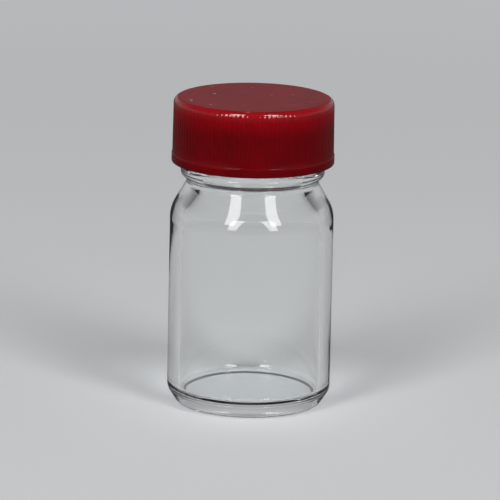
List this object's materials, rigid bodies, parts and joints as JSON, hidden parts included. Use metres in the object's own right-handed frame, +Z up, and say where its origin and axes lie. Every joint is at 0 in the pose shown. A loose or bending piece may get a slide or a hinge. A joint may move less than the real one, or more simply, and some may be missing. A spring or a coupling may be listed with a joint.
{
  "type": "glass sample vial",
  "caption": "Small clear glass sample vial with rounded shoulder, bead and wide neck, closed by a red ribbed plastic screw cap with a sealing liner.",
  "frame": {"origin": "centre of the base, on the surface that the vial stands on", "axes": "+Z up along the axis of the glass and the cap, from the base towards the cap; +X and +Y are any two directions across it, because the part is round"},
  "size_m": [0.028, 0.028, 0.0532],
  "materials": {
    "clear_glass": "fire-polished, clear",
    "liner_foam": "smooth foam sheet, matt",
    "red_cap_plastic": "moulded gloss"
  },
  "bodies": {
    "vial": {"glass_vial": "clear_glass"},
    "liner": {"cap_liner": "liner_foam"},
    "cap": {"screw_cap": "red_cap_plastic"}
  },
  "joints": [
    {"name": "cap_lift", "type": "slide", "parent": "vial", "child": "liner", "axis": [0, 0, 1], "range_m": [0, 0.00953]},
    {"name": "cap_turn", "type": "hinge", "parent": "liner", "child": "cap", "pos_m": [0, 0, 0.042], "axis": [0, 0, 1], "range_deg": [0, 1080]}
  ],
  "couplings": [
    {"joint": "cap_lift", "follows": "cap_turn", "m_per_rad": 0.00050532}
  ]
}
